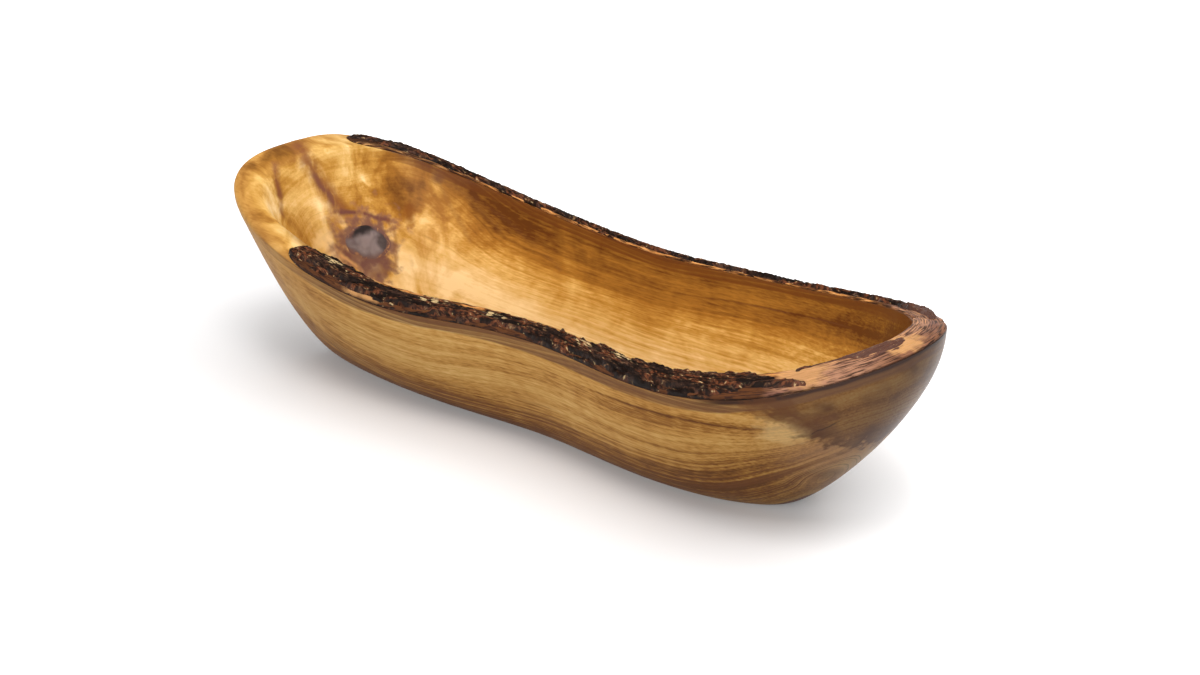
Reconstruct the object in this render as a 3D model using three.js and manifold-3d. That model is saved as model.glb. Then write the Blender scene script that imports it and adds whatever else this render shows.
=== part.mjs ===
// Olive-wood serving bowl: a long boat-shaped trough carved from half a log, with the log's own
// bark left on both long edges of its rim. Millimetres, +Z up, +X along the bowl, -Y is the front.

import * as THREE from "three";
import { ImprovedNoise } from "three/addons/math/ImprovedNoise.js";
import { mergeVertices } from "three/addons/utils/BufferGeometryUtils.js";
import Module from "manifold-3d";

const wasm = await Module();
wasm.setup();

// The log: the rim lies on its natural surface, which rises towards both ends
const LOG_RADIUS = 105;
const CREST_HEIGHT = 83;
const LEFT_SHEER = { rise: 18.8, power: 1.6 };
const RIGHT_SHEER = { rise: 16.8, power: 1.25 };

// Rim seen from above: how far its outer edge reaches from the middle, and how square each end is
const LEFT_REACH = 196.5;
const RIGHT_REACH = 195.5;
const FRONT_REACH = 74;
const REAR_REACH = 60;
const LEFT_CORNERS = { along: 3.1, across: 3.8 };
const RIGHT_CORNERS = { along: 2.8, across: 2 };
const LEFT_SKEW = { slant: 0.34, shift: -6.5 };
const RIGHT_SKEW = { slant: -0.37, shift: 5.5 };

// Places where the long edges draw in, or swell with a depth below zero
const FRONT_WAIST = { at: 7, depth: 14, spread: 72 };
const FRONT_SHOULDER = { at: 156, depth: -5, spread: 55 };
const REAR_WAIST = { at: -13, depth: 3.5, spread: 50 };

// Width of the rim between the outer wall and the hollow
const LEFT_RIM = 17.5;
const RIGHT_RIM = 18;
const FRONT_RIM = 9;
const REAR_RIM = 11.5;

// The bare left end is sanded round; beside the bark the edges are only broken
const BARE_ROUND = 5.5;
const BARE_EASE = 0.3;
const EDGE_BREAK = 0.6;
const WIDEST_ROUND = 0.45;

// Flat foot that the bowl stands on, measured from the foot's own centre
const FOOT_LEFT = 139;
const FOOT_RIGHT = 131;
const FOOT_FRONT = 28;
const FOOT_REAR = 32;
const FOOT_CENTRE = new THREE.Vector3(-10, -4, 0);

// Hollow: the wood left under it, and how far its floor stays inside the foot
const FLOOR_THICKNESS = 12;
const FLOOR_END_INSET = 19;
const FLOOR_SIDE_INSET = 9;

// Wall profiles: round is how far the wall runs out flat at its bottom, upright is how much of its
// top stands straight, flare is how much of the overhang comes at the very top
const SIDE_WALL = { round: 0.42, upright: 0.38, flare: 0.11 };
const LEFT_WALL = { round: 0.26, upright: 0.33, flare: 0.38 };
const RIGHT_WALL = { round: 0.16, upright: 0.4, flare: 0 };
const SIDE_HOLLOW = { round: 0.48, upright: 0.42, flare: 0.12 };
const LEFT_HOLLOW = { round: 0.34, upright: 0.36, flare: 0.3 };
const RIGHT_HOLLOW = { round: 0.3, upright: 0.4, flare: 0.05 };

// Bark in two layers, inner skin and outer crust, measured square to the log
const SEAT_GAP = 0.3;
const SKIN_THICKNESS = 0.9;
const CRUST_THICKNESS = 2;
const CRUST_ROUGHNESS = 0.45;
const WANDER_LENGTH = 36;
const RIDGE = { length: 11, count: 2.6, height: 1 };
const FURROW = { length: 4.3, count: 5.1, height: 0.6 };
const TIP = 0.22;

// Stretches of bark as shares of the way round the rim, from the right-hand tip through the rear.
// Tapers are lengths; low and high are the bark's edges across the rim, 0 outside and 1 inside, and
// wander is how far those edges stray
const FRONT_SKIN = {
  from: 0.579, to: 0.926, startTaper: 6, endTaper: 4,
  low: 0, high: 1, wander: 0,
};
const FRONT_CRUST = {
  from: 0.581, to: 0.921, startTaper: 9, endTaper: 52,
  low: 0.17, high: 0.92, wander: 0.16,
};
const REAR_SKIN = {
  from: 0.016, to: 0.446, startTaper: 4, endTaper: 20,
  low: 0, high: 1, wander: 0,
};
const REAR_CRUST = {
  from: 0.02, to: 0.442, startTaper: 14, endTaper: 30,
  low: 0.05, high: 0.96, wander: 0.05,
};
const RIGHT_SKIN = {
  from: 0.928, to: 1.0145, startTaper: 4, endTaper: 4,
  low: 0, high: 1, wander: 0,
};
const RIGHT_CRUST = {
  from: 0.946, to: 0.984, startTaper: 12, endTaper: 12,
  low: 0.6, high: 0.97, wander: 0.08,
};

// Dead knot in the hollow's left end: its place as shares of the way round the rim and up the wall
const KNOT_PLACE = { round: 0.457, up: 0.495 };
const KNOT_WIDTH = 25;
const KNOT_HEIGHT = 20;
const KNOT_DEPTH = 8;
const KNOT_TAPER = 0.2;

// Fineness of the faces
const STATIONS = 88;
const WALL_STEPS = 10;
const FOOT_CROWDING = 1.3;
const CORNER_STEPS = 3;
const RIM_STEPS = 3;
const SKIN_MESH = { step: 9, rows: 3 };
const CRUST_MESH = { step: 5.5, rows: 5 };
const KNOT_SIDES = 32;
const OUTLINE_STEPS = 720;

const { lerp, smoothstep, clamp } = THREE.MathUtils;
const noise = new ImprovedNoise();

const signedPower = (value, power) => Math.sign(value) * Math.abs(value) ** power;
const bell = (x, dent) => dent.depth * Math.exp(-(((x - dent.at) / dent.spread) ** 2));

// Closed outline round the bowl, seen from above, drawn in from the rim's outer edge by a rim width
class Outline extends THREE.Curve {
  constructor(width) {
    super();
    this.width = width;
    this.arcLengthDivisions = OUTLINE_STEPS;
  }

  getPoint(t, target = new THREE.Vector3()) {
    const along = Math.cos(2 * Math.PI * t);
    const across = Math.sin(2 * Math.PI * t);
    const isRight = along > 0;
    const isRear = across > 0;
    const corners = isRight ? RIGHT_CORNERS : LEFT_CORNERS;
    const skew = isRight ? RIGHT_SKEW : LEFT_SKEW;
    const dents = isRear ? [REAR_WAIST] : [FRONT_WAIST, FRONT_SHOULDER];
    const length = isRight ? RIGHT_REACH - this.width.right : LEFT_REACH - this.width.left;
    const breadth = isRear ? REAR_REACH - this.width.rear : FRONT_REACH - this.width.front;
    const x = length * signedPower(along, 2 / corners.along);
    const drawnIn = dents.reduce((sum, dent) => sum + bell(x, dent), 0);
    const y = breadth * signedPower(across, 2 / corners.across) - across * drawnIn;
    const endness = along ** 2;
    return target.set(x + y * skew.slant * endness, y + skew.shift * endness, 0);
  }
}

const outerEdge = new Outline({ left: 0, right: 0, front: 0, rear: 0 });
const innerEdge = new Outline({ left: LEFT_RIM, right: RIGHT_RIM, front: FRONT_RIM, rear: REAR_RIM });
const rimLength = outerEdge.getLength();
const turnAt = (share) => outerEdge.getUtoTmapping(share - Math.floor(share));

// Height of the log's natural surface
function logHeight(x, y) {
  const sheer = x < 0 ? LEFT_SHEER : RIGHT_SHEER;
  const reach = x < 0 ? LEFT_REACH : RIGHT_REACH;
  const crest = CREST_HEIGHT + sheer.rise * (Math.abs(x) / reach) ** sheer.power;
  return crest - (LOG_RADIUS - Math.sqrt(LOG_RADIUS ** 2 - y ** 2));
}

// Point on the rim, from its outer edge (across 0) to the hollow (across 1), raised square to the log
function rimPoint(share, across, raised = 0) {
  const turn = turnAt(share);
  const point = outerEdge.getPoint(turn).lerp(innerEdge.getPoint(turn), across);
  const levelness = Math.sqrt(1 - (point.y / LOG_RADIUS) ** 2);
  return point.setZ(logHeight(point.x, point.y) + raised / levelness);
}

// The rim's outer edge drawn in to the foot, or further to the floor of the hollow
function drawnToFoot(edge, endInset, sideInset, height) {
  const [length, longReach] = edge.x < 0 ? [FOOT_LEFT, LEFT_REACH] : [FOOT_RIGHT, RIGHT_REACH];
  const [breadth, sideReach] = edge.y < 0 ? [FOOT_FRONT, FRONT_REACH] : [FOOT_REAR, REAR_REACH];
  const x = (edge.x * (length - endInset)) / longReach;
  const y = (edge.y * (breadth - sideInset)) / sideReach;
  return new THREE.Vector3(x, y, height).add(FOOT_CENTRE);
}

// Wall from its foot up to a rim edge, its profile changing from the bowl's sides to its ends
function wallCurve(foot, edge, turn, profiles) {
  const along = Math.cos(2 * Math.PI * turn);
  const end = along < 0 ? profiles.left : profiles.right;
  const endness = along ** 4;
  const round = lerp(profiles.side.round, end.round, endness);
  const upright = lerp(profiles.side.upright, end.upright, endness);
  const flare = lerp(profiles.side.flare, end.flare, endness);
  const low = foot.clone().lerp(edge, round).setZ(foot.z);
  const high = foot.clone().lerp(edge, 1 - flare).setZ(lerp(foot.z, edge.z, 1 - upright));
  return new THREE.CubicBezierCurve3(foot, low, high, edge);
}

function outerWall(share) {
  const edge = rimPoint(share, 0);
  const foot = drawnToFoot(edge, 0, 0, 0);
  return wallCurve(foot, edge, turnAt(share), { side: SIDE_WALL, left: LEFT_WALL, right: RIGHT_WALL });
}

function hollowWall(share) {
  const edge = rimPoint(share, 1);
  const floor = drawnToFoot(rimPoint(share, 0), FLOOR_END_INSET, FLOOR_SIDE_INSET, FLOOR_THICKNESS);
  return wallCurve(floor, edge, turnAt(share), { side: SIDE_HOLLOW, left: LEFT_HOLLOW, right: RIGHT_HOLLOW });
}

// Turns every face over where the closed skin encloses a volume below zero
function facingOut(geometry) {
  const corner = (index) => new THREE.Vector3().fromBufferAttribute(geometry.attributes.position, index);
  const faces = Array.from(geometry.index.array);
  let volume = 0;
  for (let face = 0; face < faces.length; face += 3) {
    const [a, b, c] = faces.slice(face, face + 3).map(corner);
    volume += a.dot(b.cross(c));
  }
  return volume < 0 ? geometry.setIndex(faces.reverse()) : geometry;
}

// Closed skin over rings of equal count: neighbours are joined, and a fan closes each end
function loft(rings) {
  const count = rings[0].length;
  const points = rings.flat();
  const faces = [];
  for (let ring = 0; ring < rings.length - 1; ring += 1) {
    for (let side = 0; side < count; side += 1) {
      const here = ring * count + side;
      const beside = ring * count + ((side + 1) % count);
      faces.push(here, beside, beside + count, here, beside + count, here + count);
    }
  }
  for (const ring of [0, rings.length - 1]) {
    const middle = new THREE.Vector3();
    rings[ring].forEach((point) => middle.addScaledVector(point, 1 / count));
    const centre = points.push(middle) - 1;
    for (let side = 0; side < count; side += 1) {
      const edge = [ring * count + ((side + 1) % count), ring * count + side];
      faces.push(...(ring === 0 ? edge : edge.reverse()), centre);
    }
  }
  const geometry = new THREE.BufferGeometry().setFromPoints(points);
  return facingOut(geometry.setIndex(faces));
}

function toSolid(geometry) {
  const vertProperties = new Float32Array(geometry.attributes.position.array);
  const triVerts = new Uint32Array(geometry.index.array);
  return new wasm.Manifold(new wasm.Mesh({ numProp: 3, vertProperties, triVerts }));
}

function fromSolid(solid) {
  const mesh = solid.getMesh();
  const geometry = new THREE.BufferGeometry();
  geometry.setAttribute("position", new THREE.BufferAttribute(mesh.vertProperties, 3));
  return geometry.setIndex(new THREE.BufferAttribute(mesh.triVerts, 1));
}

// Radius on the rim's edges, full between the two ends of the bark and small beside it
function rimRound(share, width) {
  const ease = BARE_EASE * (FRONT_SKIN.from - REAR_SKIN.to);
  const rising = smoothstep(share, REAR_SKIN.to, REAR_SKIN.to + ease);
  const falling = 1 - smoothstep(share, FRONT_SKIN.from - ease, FRONT_SKIN.from);
  const round = lerp(EDGE_BREAK, BARE_ROUND, Math.min(rising, falling));
  return Math.min(round, WIDEST_ROUND * width);
}

// Evenly crowding points up a wall, from its foot to just below its rounded edge
function wallPoints(wall, top) {
  const points = [];
  for (let step = 0; step < WALL_STEPS; step += 1) {
    points.push(wall.getPointAt(top * (step / WALL_STEPS) ** FOOT_CROWDING));
  }
  return points;
}

// One slice through the wall, from the foot over the rim and down to the hollow's floor
function wallSlice(share) {
  const outer = outerWall(share);
  const inner = hollowWall(share);
  const width = outer.v3.distanceTo(inner.v3);
  const round = rimRound(share, width);
  const rounded = round / width;
  const outerTop = 1 - round / outer.getLength();
  const innerTop = 1 - round / inner.getLength();
  const rim = (across) => rimPoint(share, across);
  const outerCorner = new THREE.QuadraticBezierCurve3(outer.getPointAt(outerTop), outer.v3, rim(rounded));
  const innerCorner = new THREE.QuadraticBezierCurve3(rim(1 - rounded), inner.v3, inner.getPointAt(innerTop));
  const rimPoints = [];
  for (let step = 1; step < RIM_STEPS; step += 1) {
    rimPoints.push(rim(lerp(rounded, 1 - rounded, step / RIM_STEPS)));
  }
  return [
    ...wallPoints(outer, outerTop),
    ...outerCorner.getPoints(CORNER_STEPS),
    ...rimPoints,
    ...innerCorner.getPoints(CORNER_STEPS),
    ...wallPoints(inner, innerTop).reverse(),
  ];
}

function carvedBlock() {
  const slices = [];
  for (let station = 0; station < STATIONS; station += 1) {
    slices.push(wallSlice(station / STATIONS));
  }
  const rings = slices[0].map((_, level) => slices.map((slice) => slice[level]));
  return toSolid(loft(rings));
}

// Oval tapering plug, square to the hollow's wall, standing as far out of the wall as it goes in
function knotPlug(clearance) {
  const wall = hollowWall(KNOT_PLACE.round);
  const nextWall = hollowWall(KNOT_PLACE.round + 1 / STATIONS);
  const centre = wall.getPointAt(KNOT_PLACE.up);
  const upslope = wall.getTangentAt(KNOT_PLACE.up);
  const sideways = nextWall.getPointAt(KNOT_PLACE.up).sub(centre);
  const outward = sideways.cross(upslope).normalize();
  const level = upslope.clone().cross(outward);
  const depth = KNOT_DEPTH + clearance;
  const shape = new THREE.CylinderGeometry(1 + KNOT_TAPER, 1 - KNOT_TAPER, 2 * depth, KNOT_SIDES);
  shape.deleteAttribute("normal");
  shape.deleteAttribute("uv");
  shape.scale(KNOT_WIDTH / 2 + clearance, 1, KNOT_HEIGHT / 2 + clearance);
  shape.applyMatrix4(new THREE.Matrix4().makeBasis(level, outward, upslope.negate()).setPosition(centre));
  return toSolid(mergeVertices(shape));
}

// How full a stretch of bark is at a place, falling off in a rounded tip at either end
function fullness(stretch, share) {
  const fromStart = ((share - stretch.from) * rimLength) / stretch.startTaper;
  const fromEnd = ((stretch.to - share) * rimLength) / stretch.endTaper;
  const nearest = clamp(Math.min(fromStart, fromEnd), 0, 1);
  return lerp(TIP, 1, Math.sqrt(1 - (1 - nearest) ** 2));
}

// Rise and fall of the bark's top, in waves of a length along the rim and a count across it
function wave(size, along, across) {
  return size.height * noise.noise(along / size.length, across * size.count, 0.5);
}

// How far one edge of a stretch of bark strays across the rim, never past the bark's own skin
function stray(stretch, along, side) {
  const room = Math.min(stretch.wander, stretch.low, 1 - stretch.high);
  const strayed = stretch.wander * noise.noise(along / WANDER_LENGTH, side * RIDGE.length, stretch.low);
  return side === 0 ? Math.max(strayed, -room) : Math.min(strayed, room);
}

// Strip of bark along the rim, its underside at a height over the log and its top ridged and furrowed
function barkStrip(stretch, underside, thickness, roughness, mesh) {
  const steps = Math.ceil(((stretch.to - stretch.from) * rimLength) / mesh.step);
  const sections = [];
  for (let station = 0; station <= steps; station += 1) {
    const share = lerp(stretch.from, stretch.to, station / steps);
    const along = share * rimLength;
    const full = fullness(stretch, share);
    const low = stretch.low + stray(stretch, along, 0);
    const high = stretch.high + stray(stretch, along, 1);
    const below = [];
    const above = [];
    for (let row = 0; row <= mesh.rows; row += 1) {
      const across = lerp((low + high) / 2, lerp(low, high, row / mesh.rows), full);
      const relief = 1 + roughness * (wave(RIDGE, along, across) + wave(FURROW, along, across));
      below.push(rimPoint(share, across, underside));
      above.unshift(rimPoint(share, across, underside + thickness * full * relief));
    }
    sections.push([...below, ...above]);
  }
  return loft(sections);
}

const crustSeat = SEAT_GAP + SKIN_THICKNESS + SEAT_GAP;
const skin = (stretch) => barkStrip(stretch, SEAT_GAP, SKIN_THICKNESS, 0, SKIN_MESH);
const crust = (stretch) => barkStrip(stretch, crustSeat, CRUST_THICKNESS, CRUST_ROUGHNESS, CRUST_MESH);

function piece(name, geometry, color, roughness) {
  const material = new THREE.MeshStandardMaterial({ color, roughness, metalness: 0 });
  const mesh = new THREE.Mesh(geometry, material);
  mesh.name = name;
  geometry.computeVertexNormals();
  return mesh;
}

const block = carvedBlock();
const bowlWood = block.subtract(knotPlug(SEAT_GAP));
const knotWood = block.intersect(knotPlug(0));

const carving = new THREE.Group();
carving.add(
  piece("carved_bowl", fromSolid(bowlWood), 0xb57d35, 0.35),
  piece("knot", fromSolid(knotWood), 0x55392c, 0.45),
  piece("front_inner_bark", skin(FRONT_SKIN), 0x7a3f1e, 0.7),
  piece("front_outer_bark", crust(FRONT_CRUST), 0x2e211a, 0.9),
  piece("rear_inner_bark", skin(REAR_SKIN), 0x7a3f1e, 0.7),
  piece("rear_outer_bark", crust(REAR_CRUST), 0x2e211a, 0.9),
  piece("right_end_inner_bark", skin(RIGHT_SKIN), 0x8a4a26, 0.65),
  piece("right_end_outer_bark", crust(RIGHT_CRUST), 0x33241b, 0.9),
);

// The origin is the middle of the bowl's box, on the surface that it stands on
const box = new THREE.Box3().setFromObject(carving);
const middle = box.getCenter(new THREE.Vector3());
carving.position.set(-middle.x, -middle.y, -box.min.z);

const bowl = new THREE.Group();
bowl.add(carving);

export default bowl;
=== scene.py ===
import math
from bisect import bisect_left

import bmesh
import bpy
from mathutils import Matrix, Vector, noise


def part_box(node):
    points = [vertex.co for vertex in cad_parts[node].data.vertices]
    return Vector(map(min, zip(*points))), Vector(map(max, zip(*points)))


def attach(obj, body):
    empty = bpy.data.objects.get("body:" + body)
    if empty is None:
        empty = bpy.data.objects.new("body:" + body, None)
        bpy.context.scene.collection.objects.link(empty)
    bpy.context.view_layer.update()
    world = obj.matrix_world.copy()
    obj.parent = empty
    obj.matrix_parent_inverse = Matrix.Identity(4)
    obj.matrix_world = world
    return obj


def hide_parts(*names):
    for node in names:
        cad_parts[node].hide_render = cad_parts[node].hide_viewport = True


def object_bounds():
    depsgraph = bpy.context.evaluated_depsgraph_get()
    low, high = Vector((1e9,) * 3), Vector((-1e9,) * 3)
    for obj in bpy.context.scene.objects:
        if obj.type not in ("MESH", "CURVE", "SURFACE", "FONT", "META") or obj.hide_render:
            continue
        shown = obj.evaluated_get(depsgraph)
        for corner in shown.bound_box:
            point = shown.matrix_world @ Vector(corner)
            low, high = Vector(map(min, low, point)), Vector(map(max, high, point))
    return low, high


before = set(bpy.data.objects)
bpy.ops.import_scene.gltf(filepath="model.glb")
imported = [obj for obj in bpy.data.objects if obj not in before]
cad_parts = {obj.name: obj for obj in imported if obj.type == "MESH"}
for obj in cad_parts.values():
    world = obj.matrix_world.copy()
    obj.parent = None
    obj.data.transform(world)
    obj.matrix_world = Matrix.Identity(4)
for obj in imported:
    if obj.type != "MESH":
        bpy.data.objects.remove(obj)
cadLow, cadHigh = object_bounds()
scene = bpy.context.scene
mm = 0.001

# The log that the bowl is carved from, in millimetres: the rim lies on its natural surface
logShape = {"radius": 105, "crest": 83}
ends = {
    "left": {
        "reach": 196.5, "rimWidth": 17.5, "corners": (3.1, 3.8), "slant": 0.34, "shift": -6.5,
        "rise": 18.8, "power": 1.6, "foot": 139,
    },
    "right": {
        "reach": 195.5, "rimWidth": 18, "corners": (2.8, 2), "slant": -0.37, "shift": 5.5,
        "rise": 16.8, "power": 1.25, "foot": 131,
    },
}
sides = {  # each dent: its place, depth and spread
    "front": {"reach": 74, "rimWidth": 9, "foot": 28, "dents": [(7, 14, 72), (156, -5, 55)]},
    "rear": {"reach": 60, "rimWidth": 11.5, "foot": 32, "dents": [(-13, 3.5, 50)]},
}
footCentre = Vector((-10, -4, 0))
outlineSteps = 720


def lerp(first, second, share):
    return first + (second - first) * share


def smooth(value, low, high):
    share = min(max((value - low) / (high - low), 0), 1)
    return share * share * (3 - 2 * share)


def signedPower(value, power):
    return math.copysign(abs(value) ** power, value)


# Outline of the rim from above: inset 0 is its outer edge and 1 the edge of the hollow
def edgePoint(turn, inset):
    along = math.cos(2 * math.pi * turn)
    across = math.sin(2 * math.pi * turn)
    end = ends["right" if along > 0 else "left"]
    side = sides["rear" if across > 0 else "front"]
    x = (end["reach"] - inset * end["rimWidth"]) * signedPower(along, 2 / end["corners"][0])
    drawnIn = sum(depth * math.exp(-(((x - place) / spread) ** 2)) for place, depth, spread in side["dents"])
    breadth = side["reach"] - inset * side["rimWidth"]
    y = breadth * signedPower(across, 2 / end["corners"][1]) - across * drawnIn
    return Vector((x + y * end["slant"] * along ** 2, y + end["shift"] * along ** 2, 0))


outlineLengths = [0.0]
for step in range(outlineSteps):
    stretch = edgePoint((step + 1) / outlineSteps, 0) - edgePoint(step / outlineSteps, 0)
    outlineLengths.append(outlineLengths[-1] + stretch.length)
rimLength = outlineLengths[-1]


def turnAt(share):  # share of the way round the rim, from the right tip through the rear
    wanted = (share % 1) * rimLength
    step = max(bisect_left(outlineLengths, wanted), 1)
    before, after = outlineLengths[step - 1], outlineLengths[step]
    return (step - 1 + (wanted - before) / (after - before)) / outlineSteps


def logHeight(x, y):
    end = ends["left" if x < 0 else "right"]
    crest = logShape["crest"] + end["rise"] * (abs(x) / end["reach"]) ** end["power"]
    return crest - (logShape["radius"] - math.sqrt(logShape["radius"] ** 2 - y ** 2))


def levelness(y):
    return math.sqrt(1 - (y / logShape["radius"]) ** 2)


def rimPoint(share, across, raised=0):  # raised is measured square to the log
    turn = turnAt(share)
    point = edgePoint(turn, 0).lerp(edgePoint(turn, 1), across)
    point.z = logHeight(point.x, point.y) + raised / levelness(point.y)
    return point


def rimWidthAt(share):
    return (rimPoint(share, 1) - rimPoint(share, 0)).length


# Carved bowl: walls, rounded bare end, bark edges
bowlShape = {
    "floor": 12, "endInset": 19, "sideInset": 9,
    # how round at the foot, how upright at the rim, and how far the wall flares
    "outer": {"side": (0.42, 0.38, 0.11), "left": (0.26, 0.33, 0.38), "right": (0.16, 0.4, 0)},
    "inner": {"side": (0.48, 0.42, 0.12), "left": (0.34, 0.36, 0.3), "right": (0.3, 0.4, 0.05)},
    "bareRound": 5.5, "edgeBreak": 0.6, "widestRound": 0.45,
    "bareFrom": 0.446, "bareTo": 0.579, "bareEase": 0.04,
    "stations": 420, "wallRows": 40, "cornerRows": 5, "rimRows": 6,
    "rimInside": (0.2, 0.8), "toolMarks": 0.12, "toolMarkLength": 26, "toolMarkFade": (1, 6),
}


def footPoint(edge, endInset, sideInset, height):
    end = ends["left" if edge.x < 0 else "right"]
    side = sides["front" if edge.y < 0 else "rear"]
    x = edge.x * (end["foot"] - endInset) / end["reach"]
    y = edge.y * (side["foot"] - sideInset) / side["reach"]
    return Vector((x, y, height)) + footCentre


def wallCurve(foot, edge, turn, profiles):
    along = math.cos(2 * math.pi * turn)
    end = profiles["left" if along < 0 else "right"]
    roundness, upright, flare = (lerp(a, b, along ** 4) for a, b in zip(profiles["side"], end))
    low = foot.lerp(edge, roundness)
    low.z = foot.z
    high = foot.lerp(edge, 1 - flare)
    high.z = lerp(foot.z, edge.z, 1 - upright)
    return foot, low, high, edge


def onWall(curve, t):
    foot, low, high, edge = curve
    return foot * (1 - t) ** 3 + low * 3 * t * (1 - t) ** 2 + high * 3 * t * t * (1 - t) + edge * t ** 3


def outerWall(share):
    edge = rimPoint(share, 0)
    return wallCurve(footPoint(edge, 0, 0, 0), edge, turnAt(share), bowlShape["outer"])


def hollowWall(share):
    floor = footPoint(rimPoint(share, 0), bowlShape["endInset"], bowlShape["sideInset"], bowlShape["floor"])
    return wallCurve(floor, rimPoint(share, 1), turnAt(share), bowlShape["inner"])


def bareness(share):  # 1 on the bare left end of the rim, 0 beside the bark
    rising = smooth(share, bowlShape["bareFrom"], bowlShape["bareFrom"] + bowlShape["bareEase"])
    falling = 1 - smooth(share, bowlShape["bareTo"] - bowlShape["bareEase"], bowlShape["bareTo"])
    return min(rising, falling)


def roundCorner(before, corner, after, share):
    return before.lerp(corner, share).lerp(corner.lerp(after, share), share)


# One slice from the foot over the rim to the hollow's floor, with how far inside each point is
def wallSlice(share):
    outer, inner = outerWall(share), hollowWall(share)
    width = (outer[3] - inner[3]).length
    radius = lerp(bowlShape["edgeBreak"], bowlShape["bareRound"], bareness(share))
    radius = min(radius, bowlShape["widestRound"] * width)
    outerTop = 1 - radius / (3 * (outer[3] - outer[2]).length)
    innerTop = 1 - radius / (3 * (inner[3] - inner[2]).length)
    rounded = radius / width
    rimStart, rimEnd = bowlShape["rimInside"]
    wallRows, cornerRows, rimRows = bowlShape["wallRows"], bowlShape["cornerRows"], bowlShape["rimRows"]
    rows = [(onWall(outer, outerTop * row / wallRows), 0) for row in range(wallRows)]
    wallTop, rimEdge = onWall(outer, outerTop), rimPoint(share, rounded)
    for row in range(cornerRows + 1):
        corner = roundCorner(wallTop, outer[3], rimEdge, row / cornerRows)
        rows.append((corner, rimStart * row / cornerRows))
    for row in range(1, rimRows):
        point = rimPoint(share, lerp(rounded, 1 - rounded, row / rimRows))
        rows.append((point, lerp(rimStart, rimEnd, row / rimRows)))
    wallTop, rimEdge = onWall(inner, innerTop), rimPoint(share, 1 - rounded)
    for row in range(cornerRows + 1):
        corner = roundCorner(rimEdge, inner[3], wallTop, row / cornerRows)
        rows.append((corner, lerp(rimEnd, 1, row / cornerRows)))
    rows += [(onWall(inner, innerTop * row / wallRows), 1) for row in reversed(range(wallRows))]
    return rows


def barkDepth(point):  # how deep a place lies under the log's surface
    return (logHeight(point.x, point.y) - point.z) * levelness(point.y)


# A grid whose crossings are put in their places, with its seam merged and its open ends filled
def wrapGrid(columns, rows, marks, placeOf):
    bm = bmesh.new()
    bmesh.ops.create_grid(bm, x_segments=columns, y_segments=rows, size=1)
    layers = [bm.verts.layers.float.new(mark) for mark in marks]
    for vert in bm.verts:
        column = round((vert.co.x + 1) / 2 * columns)
        row = round((vert.co.y + 1) / 2 * rows)
        point, values = placeOf(column, row)
        vert.co = (point + origin) * mm
        for layer, value in zip(layers, values):
            vert[layer] = value
    bmesh.ops.remove_doubles(bm, verts=bm.verts, dist=0.001 * mm)
    bmesh.ops.holes_fill(bm, edges=[edge for edge in bm.edges if edge.is_boundary], sides=0)
    bmesh.ops.recalc_face_normals(bm, faces=bm.faces)
    bm.normal_update()
    return bm


def showPiece(name, bm, material, node):
    for vert in bm.verts:  # nothing stands out of the imported model's box
        vert.co = Vector(min(max(value, low), high) for value, low, high in zip(vert.co, cadLow, cadHigh))
    mesh = bpy.data.meshes.new(name)
    bm.to_mesh(mesh)
    bm.free()
    mesh.shade_smooth()
    mesh.materials.append(material)
    piece = bpy.data.objects.new(name, mesh)
    scene.collection.objects.link(piece)
    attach(piece, "root")
    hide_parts(node)
    print(name, len(mesh.polygons), "faces")


slices = [wallSlice(station / bowlShape["stations"]) for station in range(bowlShape["stations"])]
slices.append(slices[0])
bowlLow = Vector(min(point[axis] for rows in slices for point, _ in rows) for axis in range(3))
bowlHigh = Vector(max(point[axis] for rows in slices for point, _ in rows) for axis in range(3))
cadBowlLow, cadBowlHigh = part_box("carved_bowl")
origin = (cadBowlLow + cadBowlHigh) / 2 / mm - (bowlLow + bowlHigh) / 2
origin.z = 0
print("shape laid out, origin", origin)


def makeBowl(material):
    def placeOf(column, row):
        point, inside = slices[column][row]
        share = column / bowlShape["stations"]
        return point, (barkDepth(point), inside, bareness(share))

    bm = wrapGrid(bowlShape["stations"], len(slices[0]) - 1, ("depth", "inside", "bare"), placeOf)
    depthLayer = bm.verts.layers.float["depth"]
    for vert in bm.verts:
        if vert.co.z > mm:
            swell = noise.noise(vert.co / (bowlShape["toolMarkLength"] * mm))
            fade = smooth(vert[depthLayer], *bowlShape["toolMarkFade"])
            vert.co += vert.normal * swell * fade * bowlShape["toolMarks"] * mm
    showPiece("carvedBowl", bm, material, "carved_bowl")


# Knot: an oval plug whose face follows the hollow's wall
knotShape = {
    "round": 0.457, "up": 0.5, "width": 26, "height": 21, "depth": 7.5, "taper": 0.2,
    "rings": 14, "sides": 72, "proud": 0.25, "sunkEdge": 0.3, "edgePower": 6,
    "waves": 3, "waveHeight": 0.18, "calmPower": 4, "seed": 4.2,
    "nudge": 0.002, "wallSteps": 40, "halvings": 30,
}


def wallLength(curve, t):
    steps = knotShape["wallSteps"]
    points = [onWall(curve, t * step / steps) for step in range(steps + 1)]
    return sum((after - before).length for before, after in zip(points, points[1:]))


def heightUp(curve, share):  # the curve's parameter at a share of its length
    whole = wallLength(curve, 1)
    low, high = 0, 1
    for _ in range(knotShape["halvings"]):
        middle = (low + high) / 2
        if wallLength(curve, middle) < share * whole:
            low = middle
        else:
            high = middle
    return low


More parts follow.
